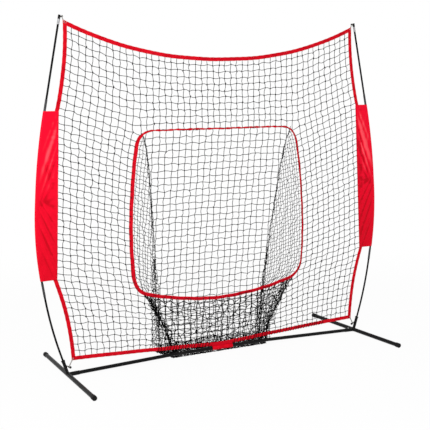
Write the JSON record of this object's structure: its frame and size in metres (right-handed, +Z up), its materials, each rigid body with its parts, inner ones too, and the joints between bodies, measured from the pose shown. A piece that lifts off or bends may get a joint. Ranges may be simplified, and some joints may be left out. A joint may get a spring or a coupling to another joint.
{
  "type": "pitching target net",
  "caption": "Freestanding square practice net on two bowed poles, with a bound opening in front of a hanging ball bag.",
  "frame": {"origin": "centre of the bounding box's bottom face, on the ground, in the plane of the net", "axes": "+Z up, +X across the net to the thrower's right, -Y towards the thrower, +Y towards the bag"},
  "size_m": [2.445, 0.9844, 2.1412],
  "materials": {
    "tube": "satin black powder coat on steel tube",
    "plastic": "moulded black plastic",
    "steel": "zinc-plated steel",
    "glass_fibre": "black pultruded glass fibre",
    "ferrule": "plain steel sleeve, slightly dulled",
    "red_fabric": "red woven polyester and webbing",
    "netting": "black knotted polyester netting",
    "elastic": "pale grey braided elastic cord"
  },
  "bodies": {
    "frame": {"foot_left": "tube", "foot_right": "tube", "stub_left": "tube", "stub_right": "tube", "socket_left": "tube", "socket_right": "tube", "liner_left": "plastic", "liner_right": "plastic", "foot_caps_left": "plastic", "foot_caps_right": "plastic", "bar_left": "tube", "bar_middle": "tube", "bar_right": "tube", "joiner_left": "steel", "joiner_right": "steel", "spring_foot_left": "steel", "spring_foot_right": "steel", "spring_bar_left": "steel", "spring_bar_right": "steel", "rod_left_1": "glass_fibre", "rod_left_2": "glass_fibre", "rod_left_3": "glass_fibre", "rod_left_4": "glass_fibre", "rod_right_1": "glass_fibre", "rod_right_2": "glass_fibre", "rod_right_3": "glass_fibre", "rod_right_4": "glass_fibre", "ferrules_left": "ferrule", "ferrules_right": "ferrule", "tip_left": "plastic", "tip_right": "plastic", "hem_top": "red_fabric", "hem_bottom": "red_fabric", "hem_left": "red_fabric", "hem_right": "red_fabric", "net_top": "netting", "net_bottom": "netting", "net_left": "netting", "net_right": "netting", "ring": "red_fabric", "bag_back": "netting", "bag_front": "netting", "bag_floor": "netting", "bag_side_left": "netting", "bag_side_right": "netting", "bag_seams": "netting", "sleeve_left": "red_fabric", "sleeve_right": "red_fabric", "strap": "red_fabric", "corner_tabs": "red_fabric", "cords_top": "elastic", "cords_bottom": "elastic", "cord_balls": "plastic"},
    "button_foot_left": {"button_foot_left": "steel"},
    "button_foot_right": {"button_foot_right": "steel"},
    "button_bar_left": {"button_bar_left": "steel"},
    "button_bar_right": {"button_bar_right": "steel"},
    "strap_tab": {"strap_tab": "red_fabric"}
  },
  "joints": [
    {"name": "button_foot_left_press", "type": "slide", "parent": "frame", "child": "button_foot_left", "axis": [0.0327, 0, -0.9995], "range_m": [0, 0.0045], "stiffness_N_per_m": 800, "springref_m": -0.003, "deforming": ["spring_foot_left"]},
    {"name": "button_foot_right_press", "type": "slide", "parent": "frame", "child": "button_foot_right", "axis": [-0.0327, 0, -0.9995], "range_m": [0, 0.0045], "stiffness_N_per_m": 800, "springref_m": -0.003, "deforming": ["spring_foot_right"]},
    {"name": "button_bar_left_press", "type": "slide", "parent": "frame", "child": "button_bar_left", "axis": [0, 0, -1], "range_m": [0, 0.0045], "stiffness_N_per_m": 800, "springref_m": -0.003, "deforming": ["spring_bar_left"]},
    {"name": "button_bar_right_press", "type": "slide", "parent": "frame", "child": "button_bar_right", "axis": [0, 0, -1], "range_m": [0, 0.0045], "stiffness_N_per_m": 800, "springref_m": -0.003, "deforming": ["spring_bar_right"]},
    {"name": "strap_tab_peel", "type": "hinge", "parent": "frame", "child": "strap_tab", "pos_m": [0, -0.0044, 0.05145], "axis": [1, 0, 0], "range_deg": [0, 110]}
  ]
}
